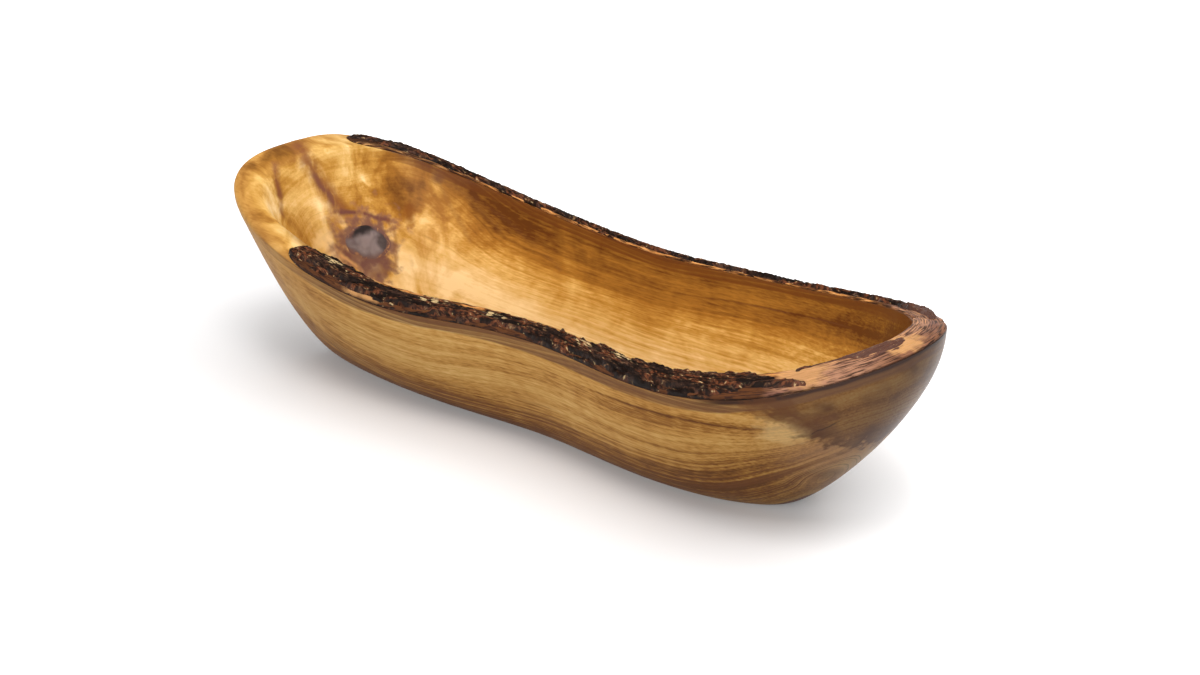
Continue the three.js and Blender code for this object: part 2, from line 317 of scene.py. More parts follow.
def makeKnot(material):
    nudge, place = knotShape["nudge"], knotShape["round"]
    t = heightUp(hollowWall(place), knotShape["up"])
    centre = onWall(hollowWall(place), t)
    sideways = (onWall(hollowWall(place + nudge), t) - centre) / nudge
    upwards = (onWall(hollowWall(place), t + nudge) - centre) / nudge
    outward = sideways.cross(upwards).normalized()
    if outward.x < 0:
        outward.negate()

    def faceOf(level, lift, turn):
        a = level * knotShape["width"] / 2 * math.cos(turn)
        b = level * knotShape["height"] / 2 * math.sin(turn)
        wall = hollowWall(place + a / sideways.length)
        return onWall(wall, t + b / upwards.length) + outward * lift

    def placeOf(column, row):
        turn = 2 * math.pi * column / knotShape["sides"]
        if row < 2:  # the plug's buried end and side
            level = 1 - knotShape["taper"] * (1 - row)
            lift = lerp(-knotShape["depth"], -knotShape["depth"] / 2, row)
            return faceOf(level, lift, turn), (level,)
        level = 1 - (row - 2) / knotShape["rings"]
        reach = knotShape["waves"] * level
        wave = noise.noise(Vector((math.cos(turn) * reach, math.sin(turn) * reach, knotShape["seed"])))
        lift = lerp(knotShape["proud"], -knotShape["sunkEdge"], level ** knotShape["edgePower"])
        lift += knotShape["waveHeight"] * wave * (1 - level ** knotShape["calmPower"])
        return faceOf(level, lift, turn), (level,)

    bm = wrapGrid(knotShape["sides"], knotShape["rings"] + 2, ("level",), placeOf)
    showPiece("knotPlug", bm, material, "knot")


# Bark strips: shares of the way round the rim, tapers and heights over the log in millimetres.
# A crust's path gives its middle and half its width across the rim, 0 outside and 1 inside
frontSkin = {"from": 0.584, "to": 0.929, "startTaper": 22, "endTaper": 6, "step": 0.8, "rows": 18, "seed": 3}
rearSkin = {"from": 0.016, "to": 0.446, "startTaper": 6, "endTaper": 20, "step": 0.8, "rows": 18, "seed": 11}
rightSkin = {"from": 0.923, "to": 1.019, "startTaper": 6, "endTaper": 6, "step": 0.7, "rows": 30, "seed": 23}
frontCrust = {
    "from": 0.584, "to": 0.925, "startTaper": 20, "endTaper": 5, "step": 0.5, "rows": 30, "seed": 5,
    "body": 1.6, "relief": 0.75,
    "path": [
        (0.584, 0.6, 0.6), (0.594, 0.62, 0.55), (0.615, 0.62, 0.42), (0.632, 0.55, 0.45), (0.645, 0.42, 0.42),
        (0.665, 0.4, 0.4), (0.69, 0.4, 0.4), (0.71, 0.34, 0.36), (0.73, 0.34, 0.37), (0.75, 0.38, 0.42),
        (0.78, 0.46, 0.48), (0.81, 0.5, 0.54), (0.84, 0.52, 0.58), (0.87, 0.54, 0.58), (0.885, 0.6, 0.46),
        (0.9, 0.55, 0.36), (0.908, 0.42, 0.26), (0.914, 0.28, 0.16), (0.925, 0.12, 0.05),
    ],
}
rearCrust = {
    "from": 0.018, "to": 0.444, "startTaper": 34, "endTaper": 30, "step": 0.5, "rows": 30, "seed": 17,
    "body": 1.1, "relief": 1.9,
    "path": [
        (0.018, 0.3, 0.2), (0.04, 0.42, 0.5), (0.09, 0.36, 0.42), (0.13, 0.42, 0.46), (0.2, 0.44, 0.5),
        (0.27, 0.42, 0.5), (0.34, 0.46, 0.52), (0.4, 0.44, 0.46), (0.425, 0.4, 0.34), (0.444, 0.35, 0.15),
    ],
}
rightCrust = {
    "from": 0.924, "to": 0.982, "startTaper": 4, "endTaper": 4, "step": 0.5, "rows": 30, "seed": 29,
    "body": 0.3, "relief": 0.7,
    "path": [
        (0.924, 0.95, 0.09), (0.94, 0.97, 0.1), (0.95, 0.92, 0.16), (0.96, 0.78, 0.3), (0.972, 0.7, 0.36),
        (0.982, 0.75, 0.16),
    ],
}
barkForm = {
    "skinTop": 1.2, "skinRelief": 0.45, "underRows": 4, "tip": 0.22, "hidden": 0.7, "seat": 0.2,
    "least": 0.2, "shoulder": 1.4, "edgeHeight": 0.3,
    "sizes": {  # length along the strip, width across it, and what is added to the strip's seed
        "ragged": (11, 1.8, 9), "bend": (14, 6, 0), "rope": (20, 1.6, 0), "plate": (16, 2.6, 0),
        "fibre": (9, 0.9, 0), "flake": (6, 2.6, 4),
    },
    "fractals": {"ragged": (0.8, 2.1, 3), "grit": (0.7, 2.1, 4), "fibre": (0.8, 2.2, 3)},
    "stray": 0.16, "strayLength": 24, "strayRow": 0.3, "ragged": 0.5, "coverEase": 0.6,
    "bendSeed": 7, "ropeBend": 0.8, "plateBend": 0.6, "ropeSharpness": 2.4, "crack": 0.16, "gritSize": 1.3,
    "ropeShare": 0.55, "plateShare": 0.3, "plateTones": (0.4, 1.2), "gritShare": 0.09, "toneStep": 5.3,
    "standingGain": 1.3, "fibreShare": 0.5, "flakeShare": 0.6,
}
noise.seed_set(barkForm["bendSeed"])  # the ropes bend the same way each time


def fullness(strip, share):
    fromStart = (share - strip["from"]) * rimLength / strip["startTaper"]
    fromEnd = (strip["to"] - share) * rimLength / strip["endTaper"]
    nearest = min(max(min(fromStart, fromEnd), 0), 1)
    return lerp(barkForm["tip"], 1, math.sqrt(1 - (1 - nearest) ** 2))


def onPath(strip, share):
    path = strip["path"]
    for before, after in zip(path, path[1:]):
        if share <= after[0]:
            ease = smooth(share, before[0], after[0])
            return lerp(before[1], after[1], ease), lerp(before[2], after[2], ease)
    return path[-1][1:]


def barkSpot(strip, kind, alongMm, acrossMm):
    length, width, added = barkForm["sizes"][kind]
    return Vector((alongMm / length, acrossMm / width, strip["seed"] + added))


# Height of the fibrous inner bark over the log
def skinTop(strip, alongMm, acrossMm):
    fibre = noise.fractal(barkSpot(strip, "fibre", alongMm, acrossMm), *barkForm["fractals"]["fibre"])
    flake = noise.noise(barkSpot(strip, "flake", alongMm, acrossMm))
    rough = barkForm["fibreShare"] * fibre + barkForm["flakeShare"] * flake
    return barkForm["skinTop"] + barkForm["skinRelief"] * rough


# Height of the crust, ropy and cracked into plates, sinking under the inner bark off its path,
# with how far it stands out of its cracks and the tone of its plate
def crustTop(strip, share, across, alongMm, acrossMm):
    fractals = barkForm["fractals"]
    spots = {kind: barkSpot(strip, kind, alongMm, acrossMm) for kind in ("ragged", "bend", "rope", "plate")}
    middle, half = onPath(strip, share)
    stray = noise.noise(Vector((alongMm / barkForm["strayLength"], barkForm["strayRow"], strip["seed"])))
    middle += barkForm["stray"] * stray
    ragged = noise.fractal(spots["ragged"], *fractals["ragged"])
    cover = 1 - abs(across - middle) / half + barkForm["ragged"] * ragged
    bend = noise.noise_vector(spots["bend"])
    rope = 1 - abs(noise.noise(spots["rope"] + bend * barkForm["ropeBend"])) * barkForm["ropeSharpness"]
    distances, points = noise.voronoi(spots["plate"] + bend * barkForm["plateBend"])
    standing = smooth(distances[1] - distances[0], 0, barkForm["crack"])
    tone = 0.5 + 0.5 * noise.noise(points[0] * barkForm["toneStep"])
    grit = noise.fractal(Vector((alongMm, acrossMm, strip["seed"])) / barkForm["gritSize"], *fractals["grit"])
    plates = barkForm["plateShare"] * standing * lerp(*barkForm["plateTones"], tone)
    rough = barkForm["ropeShare"] * rope + plates + barkForm["gritShare"] * grit
    rise = smooth(cover, 0, barkForm["coverEase"])
    thickness = barkForm["hidden"] + strip["body"] + strip["relief"] * rough
    height = barkForm["skinTop"] - barkForm["hidden"] + rise * thickness
    return height, min(max(rough * barkForm["standingGain"], 0), 1), tone


def makeBark(name, strip, material, node):
    columns = round((strip["to"] - strip["from"]) * rimLength / strip["step"])
    topRows, underRows = strip["rows"], barkForm["underRows"]
    rows = topRows + underRows
    isCrust = "path" in strip
    seat = barkForm["seat"] if isCrust else 0

    def placeOf(column, row):
        row %= rows
        share = lerp(strip["from"], strip["to"], column / columns)
        full = fullness(strip, share)
        across = row / topRows if row <= topRows else 1 - (row - topRows) / underRows
        across = lerp(0.5, across, full)
        width = rimWidthAt(share)
        alongMm, acrossMm = share * rimLength, across * width
        if isCrust:
            height, standing, tone = crustTop(strip, share, across, alongMm, acrossMm)
            marks = (alongMm, acrossMm, standing, tone)
        else:
            height = skinTop(strip, alongMm, acrossMm)
            marks = (alongMm, acrossMm, across)
        if not 0 < row < topRows:
            return rimPoint(share, across, seat), marks
        edge = min(row, topRows - row) / topRows * width
        shoulder = math.sqrt(smooth(edge, 0, barkForm["shoulder"]))
        top = max(height, seat + barkForm["least"])
        raised = lerp(seat, top, full * lerp(barkForm["edgeHeight"], 1, shoulder))
        return rimPoint(share, across, raised), marks

    markNames = ("along", "across", "standing", "tone") if isCrust else ("along", "across", "inward")
    bm = wrapGrid(columns, rows, markNames, placeOf)
    showPiece(name, bm, material, node)


# Shader nodes: a socket given as a value is linked, anything else is typed in
def put(tree, kind, values=(), **settings):
    made = tree.nodes.new(kind)
    for key, value in settings.items():
        setattr(made, key, value)
    for key, value in dict(values).items():
        if isinstance(value, bpy.types.NodeSocket):
            tree.links.new(value, made.inputs[key])
        else:
            made.inputs[key].default_value = value
    return made


def calc(tree, operation, *values):
    return put(tree, "ShaderNodeMath", enumerate(values), operation=operation).outputs[0]


def calcVector(tree, operation, first, second=(0, 0, 0)):
    key = "Scale" if operation == "SCALE" else 1
    made = put(tree, "ShaderNodeVectorMath", {0: first, key: second}, operation=operation)
    return made.outputs["Value" if operation in ("DOT_PRODUCT", "LENGTH", "DISTANCE") else "Vector"]


def product(tree, first, *others):
    for other in others:
        first = calc(tree, "MULTIPLY", first, other)
    return first


def rest(tree, share):
    return calc(tree, "SUBTRACT", 1, share)


def between(tree, value, low, high, bottom=0, top=1):
    values = {"Value": value, "From Min": low, "From Max": high, "To Min": bottom, "To Max": top}
    return put(tree, "ShaderNodeMapRange", values, interpolation_type="SMOOTHSTEP").outputs["Result"]


def rangesOf(tree, ranges):  # takes a value through the range of a name
    return lambda name, value: between(tree, value, *ranges[name])


def tint(tree, share, *colours):
    values = {0: share}
    for key, colour in zip((6, 7), colours):
        values[key] = colour if isinstance(colour, bpy.types.NodeSocket) else (*colour, 1)
    return put(tree, "ShaderNodeMix", values, data_type="RGBA").outputs[2]


def ramp(tree, value, stops):
    made = put(tree, "ShaderNodeValToRGB", {0: value})
    elements = made.color_ramp.elements
    while len(elements) < len(stops):
        elements.new(1)
    for element, (place, colour) in zip(elements, stops):
        element.position = place
        element.color = (*colour, 1)
    return made.outputs[0]


def grainNoise(tree, place, lengths, detail, distortion=0):  # lengths of one wave, along x, y and z
    stretched = calcVector(tree, "DIVIDE", place, lengths)
    values = {"Vector": stretched, "Scale": 1.0, "Detail": detail, "Distortion": distortion}
    return put(tree, "ShaderNodeTexNoise", values).outputs[0]


def noisesOf(tree, place, noises):
    return {name: grainNoise(tree, place, *settings) for name, settings in noises.items()}


def mark(tree, name):
    return put(tree, "ShaderNodeAttribute", attribute_name=name).outputs["Fac"]


def newGroup(name, vectors, numbers):
    group = bpy.data.node_groups.new(name, "ShaderNodeTree")
    for kind, names in (("NodeSocketVector", vectors), ("NodeSocketFloat", numbers)):
        for socketName in names:
            group.interface.new_socket(socketName, in_out="INPUT", socket_type=kind)
    group.interface.new_socket("Mask", in_out="OUTPUT", socket_type="NodeSocketFloat")
    given = group.nodes.new("NodeGroupInput").outputs
    result = group.nodes.new("NodeGroupOutput").inputs[0]
    return group, given, result


# Soft-edged patch round a place, its edge frayed
def makePatchGroup():
    group, given, result = newGroup("patchMask", ("Place", "Centre", "Size"), ("Fray", "Ragged", "Soft"))
    offset = calcVector(group, "SUBTRACT", given["Place"], given["Centre"])
    away = calcVector(group, "LENGTH", calcVector(group, "DIVIDE", offset, given["Size"]))
    away = calc(group, "MULTIPLY_ADD", given["Fray"], given["Ragged"], away)
    inner = rest(group, given["Soft"])
    outer = calc(group, "ADD", 1, given["Soft"])
    group.links.new(between(group, away, inner, outer, 1, 0), result)
    return group


# Soft-edged streak from one place to another
def makeStreakGroup():
    group, given, result = newGroup("streakMask", ("Place", "Start", "End"), ("Width",))
    whole = calcVector(group, "SUBTRACT", given["End"], given["Start"])
    part = calcVector(group, "SUBTRACT", given["Place"], given["Start"])
    reached = calcVector(group, "DOT_PRODUCT", part, whole)
    share = calc(group, "DIVIDE", reached, calcVector(group, "DOT_PRODUCT", whole, whole))
    share = put(group, "ShaderNodeClamp", {"Value": share}).outputs[0]
    away = calcVector(group, "DISTANCE", part, calcVector(group, "SCALE", whole, share))
    group.links.new(between(group, away, 0, given["Width"], 1, 0), result)
    return group


patchGroup = makePatchGroup()
streakGroup = makeStreakGroup()


def patch(tree, place, fray, centre, size, ragged, soft):
    values = {"Place": place, "Centre": centre, "Size": size, "Fray": fray, "Ragged": ragged, "Soft": soft}
    return put(tree, "ShaderNodeGroup", values, node_tree=patchGroup).outputs[0]


def streak(tree, place, points, width):  # along the line through the points
    mask = 0.0
    for start, end in zip(points, points[1:]):
        values = {"Place": place, "Start": start, "End": end, "Width": width}
        length = put(tree, "ShaderNodeGroup", values, node_tree=streakGroup).outputs[0]
        mask = calc(tree, "MAXIMUM", mask, length)
    return mask


def wavered(tree, place, length, sway):  # the place, swaying to and fro
    values = {"Vector": calcVector(tree, "SCALE", place, 1 / length), "Scale": 1.0, "Detail": 2.0}
    turned = put(tree, "ShaderNodeTexNoise", values).outputs["Color"]
    turned = calcVector(tree, "SCALE", calcVector(tree, "SUBTRACT", turned, (0.5, 0.5, 0.5)), sway)
    return calcVector(tree, "ADD", place, turned)


def centred(tree, value):
    return calc(tree, "SUBTRACT", value, 0.5)


def newMaterial(name, settings):
    material = bpy.data.materials.new(name)
    material.use_nodes = True
    shader = material.node_tree.nodes["Principled BSDF"]
    for key, value in settings.items():
        shader.inputs[key].default_value = value
    return material, material.node_tree, shader.inputs


def raiseGrain(tree, shader, height, settings):
    bump = put(tree, "ShaderNodeBump", {"Height": height, **settings})
    tree.links.new(bump.outputs[0], shader["Normal"])


def stripPlace(tree):  # along and across a strip of bark, in millimetres
    return put(tree, "ShaderNodeCombineXYZ", {"X": mark(tree, "along"), "Y": mark(tree, "across")}).outputs[0]


def axesOf(tree, place):
    return put(tree, "ShaderNodeSeparateXYZ", {0: place}).outputs


def objectPlace(tree):  # object coordinates in millimetres
    coordinates = put(tree, "ShaderNodeTexCoord").outputs["Object"]
    return calcVector(tree, "SCALE", coordinates, 1 / mm)


# Olive wood, in linear colours; places and lengths are millimetres in the bowl's frame
wood = {
    "shader": {"Specular IOR Level": 0.06, "Coat Roughness": 0.2},
    "bump": {"Strength": 0.12, "Distance": 0.2 * mm},
    "hollow": [
        (0.02, (0.95, 0.7, 0.36)), (0.3, (0.7, 0.42, 0.125)), (0.46, (0.5, 0.25, 0.047)),
        (0.62, (0.335, 0.14, 0.02)), (1, (0.1, 0.03, 0.005)),
    ],
    "outside": [
        (0.16, (0.76, 0.48, 0.19)), (0.33, (0.64, 0.37, 0.115)), (0.48, (0.52, 0.265, 0.068)),
        (0.6, (0.34, 0.15, 0.034)), (0.76, (0.14, 0.052, 0.013)),
    ],
    "colours": {
        "vein": (0.13, 0.048, 0.018), "flame": (0.17, 0.062, 0.02), "underBark": (0.15, 0.068, 0.034),
        "rearBand": (0.12, 0.036, 0.007), "cambium": (0.04, 0.018, 0.013), "endBrown": (0.095, 0.033, 0.01),
        "endRedWithSheen": (0.55, 0.3, 0.15), "purple": (0.15, 0.066, 0.056), "redBrown": (0.33, 0.155, 0.092),
        "stain": (0.15, 0.056, 0.044), "ribbon": (0.22, 0.076, 0.028), "amber": (0.2, 0.062, 0.007),
        "pale": (0.9, 0.62, 0.27), "filament": (0.7, 0.38, 0.14), "crack": (0.035, 0.015, 0.008),
    },
    "noises": {  # length of one wave along x, y and z, detail, distortion
        "fray": ((9, 5, 5), 3), "slow": ((170, 50, 50), 1), "quick": ((60, 14, 14), 2),
        "fibres": ((14, 0.7, 0.7), 3), "flecks": ((5, 1.1, 1.1), 2), "clouds": ((34, 20, 20), 3, 0.4),
        "flow": ((24, 15, 30), 4, 1.2), "shimmer": ((9, 60, 60), 2), "split": ((3, 3, 26), 3, 0.4),
    },
    "ringNoises": {  # the same, along the log and across its rings
        "lines": ((230, 1, 1.7), 4), "streaks": ((190, 1, 6), 3, 0.3), "bands": ((300, 1, 20), 2),
        "flames": ((260, 1, 3.6), 3, 0.5),
    },
    "figure": {"lines": 0.32, "streaks": 0.28, "bands": 0.26, "fibres": 0.16, "flecks": 0.14},
    "tone": 0.48, "leftPaler": 0.15, "knotSoftness": 0.98, "shadeEdge": (1.6, 0.8), "sway": (9, 3.4),
    "wander": {"slowRings": 24, "quickRings": 3.5, "heart": 40, "outsideBand": 3, "insideBand": 16},
    "endGrain": {"x": 155, "z": 62, "slope": 0.75, "fray": 40},
    "ranges": {  # a value's low and high end, and what these become where that isn't 0 and 1
        "outside": (0, 0.5, 1, 0), "leftEnd": (-150, -90, 1, 0), "lineStrength": (0, 1, 2, 0.75),
        "calmer": (15, 55, 0, 0.35), "cloudy": (0, 1, 0.35, 1.35), "cloudyInside": (0, 0.8, 0.5, 1),
        "shimmer": (-40, 60, 0, 0.12), "paler": (4, 60, -0.32, 0.32), "darker": (34, 66, 0, 0.22),
        "rimStart": (0.05, 0.3), "rimEnd": (0.75, 1, 0.16, 0),
        "redder": (138, 176, 0, 0.7), "redderLow": (44, 66, 1, 0),
        "thin": (0.62, 0.7, 0, 0.5), "thinPlaces": (0.46, 0.6), "thinFade": (25, 50, 0.2, 0.95),
        "flames": (0.51, 0.57), "heart": (56, 76), "flamesOutside": (0.2, 0.6, 0.9, 0),
        "endGrain": (-3, 6), "endClouds": (0.3, 0.62, 1, 0.62),
        "underBark": (5, 6.2, 0.9, 0), "underBarkLines": (0.35, 0.6, 0.6, 1),
        "underBarkReach": (-155, -95, 0.35, 1),
        "rightward": (60, 150, 0, 2), "rearBand": (4.2, 5, 0.9, 0), "rearBandInside": (0.5, 0.9),
        "rearBandReach": (-172, -140), "rearBandLines": (0.3, 0.6, 0.55, 1),
        "cambium": (1.2, 2.8, 0.95, 0), "cambiumReach": (112, 132), "split": (0.36, 0.54, 0.62, 1),
        "rightCoat": (120, 180, 0, 0.24), "hollowCoat": (0.2, 0.9, 0, 0.28),
        "roughness": (0, 1, 0.38, 0.28), "fibreRoughness": (0.3, 0.8, 0, 0.12),
    },
    "knots": [  # centre, size and how far it pushes the rings aside
        ((-154, 6.7, 51.5), (38, 38, 38), 9), ((-136, 41.2, 81.7), (30, 24, 24), 10),
        ((159, -18.7, 30.7), (32, 24, 20), 14), ((160, -19.4, 32), (13, 11, 8), 9),
        ((178, -19, 53), (18, 18, 15), 14),
    ],
    "shades": [  # centre, size and how much darker
        # painted highlight: the first patch lightens the low hollow where the lamp glares, over lighter wood
        # there
        ((-112, 31, 28), (38, 20, 17), -0.13), ((-146, 36, 83), (30, 20, 16), 0.28),
        ((-112, 48, 73), (40, 16, 16), 0.17), ((-152, 27, 70), (10, 9, 9), 0.2),
        ((-170, -1, 84), (8, 10, 12), 0.06), ((-137, 38, 70), (5, 4, 13), -0.14),
        ((-118, 42, 56), (16, 8, 7), 0.08), ((150, 30, 80), (50, 34, 26), 0.12),
        ((172, 26, 92), (34, 20, 12), 0.18), ((-40, 50, 64), (60, 16, 15), 0.07),
        # painted light on the front outside's left and painted shade on its right
        ((-78, -60, 46), (50, 20, 20), -0.08), ((100, -48, 42), (50, 20, 24), 0.07),
    ],
    "patches": [  # colour, centre, size, raggedness, softness, strength
        ("redBrown", (-155, 4, 50), (17, 19, 17), 2.6, 0.4, 0.65),
        ("pale", (-164.4, -13.5, 56.5), (4, 5, 5), 2, 0.5, 0.7),
        ("pale", (-141.4, 21.9, 43.6), (5, 4, 5), 2, 0.5, 0.5),
        ("purple", (-154, 6.7, 51.5), (14, 15, 12.5), 2, 0.3, 0.75),
        ("purple", (-147.6, 7.7, 39.1), (8, 10, 7), 2, 0.3, 0.75),
        ("amber", (-145.1, 29.4, 63.6), (3, 3, 6), 1, 0.6, 0.9),
        ("vein", (-136, 41.2, 81.7), (3.4, 3.4, 2.8), 1, 0.7, 0.7),
        ("pale", (155.1, -44.5, 59.2), (11, 10, 6), 2, 0.5, 0.45),
        # painted sheen low on the right end's outside
        ("pale", (168, -6, 36), (16, 14, 8), 2, 0.7, 0.35),
        ("vein", (153.5, -49.9, 71.1), (12, 12, 6), 2.4, 0.25, 0.55),
        ("vein", (167.1, -39.2, 64.4), (10, 12, 7), 2.4, 0.25, 0.5),
        ("vein", (159, -18.7, 30.7), (7, 7, 4), 1.6, 0.7, 0.5),
    ],
    "streaks": [  # colour, half width, strength, points
        ("ribbon", 8, 0.9, [
            (-187.3, -6.7, 99.9), (-178.8, -9.4, 95.1), (-174.4, -7.1, 87.4), (-170.2, -4.5, 79.6),
            (-165, -1, 69),
        ]),
        ("stain", 2.6, 0.7, [(-174.4, -8.1, 87.4), (-170.2, -5.5, 79.6), (-166, -2.7, 70.9)]),
        ("stain", 2.3, 1, [(-165.3, -3.5, 68.6), (-158.3, 10.8, 65.1), (-151.3, 20.2, 60.4)]),
        ("stain", 2.4, 0.6, [
            (-165.2, -7.4, 64.3), (-162.3, -7, 57.8), (-159.2, -6.8, 50.4), (-155.7, -3.4, 45.9),
        ]),
        ("ribbon", 1.7, 0.7, [
            (-151.3, 20.2, 60.4), (-146, 20.5, 52), (-144.9, 19, 45.8), (-142.4, 16.9, 38.8),
        ]),
        ("filament", 1.5, 0.7, [(-160, -9, 53), (-157, -6, 46), (-150, 0, 39)]),
        ("filament", 1.5, 0.7, [(-146, 17, 50), (-143, 15, 42), (-140, 14, 36)]),
        ("ribbon", 3.4, 1, [(-185.7, -24.3, 95.4), (-180.9, -27.8, 89), (-178.2, -29.5, 82)]),
        ("ribbon", 2.8, 0.8, [(-178.2, -29.5, 82), (-172.9, -32.3, 72.9)]),
        ("vein", 2.2, 0.22, [(-136, 41.2, 81.7), (-117.4, 45.9, 72.9), (-98.1, 47.3, 61)]),
        ("vein", 2.4, 0.25, [(-136, 41.2, 81.7), (-127.6, 41.6, 68.9), (-114, 41.8, 53.1)]),
        ("vein", 2.4, 0.25, [(-136, 41.2, 81.7), (-99.3, 48.8, 68.5), (-57.4, 47.5, 49.9)]),
        ("crack", 0.7, 0.8, [(164.9, -38.2, 59.1), (175.1, -33.5, 66.7)]),
    ],
}


def makeWood():
    material, tree, shader = newMaterial("oliveWood", wood["shader"])
    colours, wander = wood["colours"], wood["wander"]
    within = rangesOf(tree, wood["ranges"])
    place = objectPlace(tree)
    x, _, z = axesOf(tree, place)
    depth, inside, bare = mark(tree, "depth"), mark(tree, "inside"), mark(tree, "bare")
    outside = within("outside", inside)
    grain = noisesOf(tree, place, wood["noises"])
    fray, slow, quick = (centred(tree, grain[name]) for name in ("fray", "slow", "quick"))

    # rings bend round each knot and wander along the log
    ringDepth = calc(tree, "MULTIPLY_ADD", quick, wander["quickRings"], depth)
    ringDepth = calc(tree, "MULTIPLY_ADD", slow, wander["slowRings"], ringDepth)
    for centre, size, push in wood["knots"]:
        bulge = patch(tree, place, 0, centre, size, 0, wood["knotSoftness"])
        ringDepth = calc(tree, "MULTIPLY_ADD", bulge, push, ringDepth)
    alongRing = put(tree, "ShaderNodeCombineXYZ", {"X": x, "Z": ringDepth}).outputs[0]
    grain.update(noisesOf(tree, alongRing, wood["ringNoises"]))

    # fine lines along the log, giving way to a cloudy figure at the left end
    leftEnd = within("leftEnd", x)
    figure = 0
    for name, weight in wood["figure"].items():
        figure = calc(tree, "MULTIPLY_ADD", centred(tree, grain[name]), weight, figure)
    calmer = product(tree, inside, within("calmer", depth))
    figure = product(tree, figure, within("lineStrength", leftEnd), rest(tree, calmer))
    cloudy = product(tree, within("cloudy", leftEnd), within("cloudyInside", inside))
    for name, weight in (("flow", cloudy), ("shimmer", within("shimmer", x))):
        figure = calc(tree, "MULTIPLY_ADD", centred(tree, grain[name]), weight, figure)

    # lighter down the hollow, partly lighter wood and partly painted light low down with painted shade near
    # the rim; painted shade towards the foot outside, and a deeper tone on the bare rim's top
    paler = within("paler", depth)
    paler = put(tree, "ShaderNodeMix", {0: leftEnd, 2: paler, 3: wood["leftPaler"]}).outputs[0]
    # painted shade: the outside deepens in tone towards the foot
    darker = product(tree, outside, within("darker", depth))
    figure = calc(tree, "SUBTRACT", figure, product(tree, inside, paler))
    figure = calc(tree, "ADD", figure, calc(tree, "ADD", darker, wood["tone"]))
    rimTop = product(tree, within("rimStart", inside), within("rimEnd", inside))
    figure = calc(tree, "MULTIPLY_ADD", rimTop, bare, figure)
    # tone patches in the wood, among them painted highlight, painted light and painted shade, as marked in
    # their list
    for centre, size, amount in wood["shades"]:
        shade = patch(tree, place, fray, centre, size, *wood["shadeEdge"])
        figure = calc(tree, "MULTIPLY_ADD", shade, amount, figure)
    colour = tint(tree, inside, ramp(tree, figure, wood["outside"]), ramp(tree, figure, wood["hollow"]))

    # more red low on the right end, lightened there too as painted sheen, a few thin dark lines, and dark
    # flames low in the log
    redder = product(tree, within("redder", x), within("redderLow", z), outside)
    colour = tint(tree, redder, colour, colours["endRedWithSheen"])
    fading = product(tree, inside, within("thinFade", depth))
    lines, clouds = grain["lines"], grain["clouds"]
    thin = product(tree, within("thin", lines), within("thinPlaces", clouds), rest(tree, fading))
    colour = tint(tree, thin, colour, colours["vein"])
    heart = within("heart", calc(tree, "MULTIPLY_ADD", clouds, wander["heart"], depth))
    flames = product(tree, within("flames", grain["flames"]), heart, within("flamesOutside", inside))
    colour = tint(tree, flames, colour, colours["flame"])

    # browner end grain high on the right end, with a ragged edge
    end = wood["endGrain"]
    endEdge = calc(tree, "SUBTRACT", z, end["z"])
    endEdge = calc(tree, "MULTIPLY_ADD", calc(tree, "SUBTRACT", x, end["x"]), end["slope"], endEdge)
    endEdge = calc(tree, "MULTIPLY_ADD", fray, end["fray"], endEdge)
    endShare = product(tree, within("endGrain", endEdge), within("endClouds", clouds), outside)
    colour = tint(tree, endShare, colour, colours["endBrown"])

    # bands that run under the bark, each the product of its ranges
    bandEdge = calc(tree, "MULTIPLY_ADD", quick, wander["outsideBand"], depth)
    insideEdge = calc(tree, "MULTIPLY_ADD", slow, wander["insideBand"], depth)
    insideEdge = calc(tree, "SUBTRACT", insideEdge, within("rightward", x))
    bands = {
        "underBark": {"underBark": bandEdge, "outside": inside, "underBarkLines": lines, "underBarkReach": x},
        "rearBand": {
            "rearBand": insideEdge, "rearBandInside": inside, "rearBandReach": x, "rearBandLines": lines,
        },
        # a dark line just under the bark on the right end's outside: the cambium, with painted shadow of the
        # overhanging bark
        "cambium": {"cambium": bandEdge, "cambiumReach": x, "outside": inside},
    }
    for name, factors in bands.items():
        band = product(tree, *(within(limits, value) for limits, value in factors.items()))
        colour = tint(tree, product(tree, band, rest(tree, bare)), colour, colours[name])

    # stained wood round the knots, and the veins that run from them
    for name, centre, size, ragged, soft, strength in wood["patches"]:
        stain = product(tree, patch(tree, place, fray, centre, size, ragged, soft), strength)
        colour = tint(tree, stain, colour, colours[name])
    swayed = wavered(tree, place, *wood["sway"])
    split = within("split", grain["split"])
    for name, width, strength, points in wood["streaks"]:
        seam = product(tree, streak(tree, swayed, points, width), strength, split)
        colour = tint(tree, seam, colour, colours[name])
    tree.links.new(colour, shader["Base Color"])

    # polished hollow and right end
    coat = product(tree, within("rightCoat", x), outside)
    coat = calc(tree, "ADD", coat, within("hollowCoat", inside))
    tree.links.new(coat, shader["Coat Weight"])
    fibrous = within("fibreRoughness", grain["fibres"])
    roughness = calc(tree, "ADD", within("roughness", inside), fibrous)
    tree.links.new(roughness, shader["Roughness"])
    raiseGrain(tree, shader, grain["fibres"], wood["bump"])
    return material


knotFinish = {
    "shader": {"Specular IOR Level": 0.4, "Roughness": 0.34},
    "core": (0.25, 0.2, 0.195), "dark": (0.022, 0.016, 0.016), "smoky": (0.13, 0.096, 0.096),
    "rim": (0.17, 0.08, 0.06), "amber": (0.45, 0.22, 0.085),
    "noises": {"fray": ((6, 6, 6), 3), "swirl": ((9, 9, 9), 3, 0.6), "wisps": ((6, 6, 6), 3, 0.8)},
    "ranges": {
        "smoky": (0.46, 0.7, 0, 0.6), "smokyEdge": (0.5, 0.76, 0, 0.8), "low": (41, 48, 0.8, 0),
        "rim": (0.7, 0.9), "wisps": (0, 0.05, 0.8, 0), "wispPlaces": (0.72, 0.95),
    },
    "ringWander": 0.6, "shadowEdge": (1, 0.35),
    # centre, size, strength
    "shadows": [((-158, 5.5, 59.8), (7, 10, 4.4), 1), ((-149.5, 16, 52), (4, 4, 7), 0.7)],
}


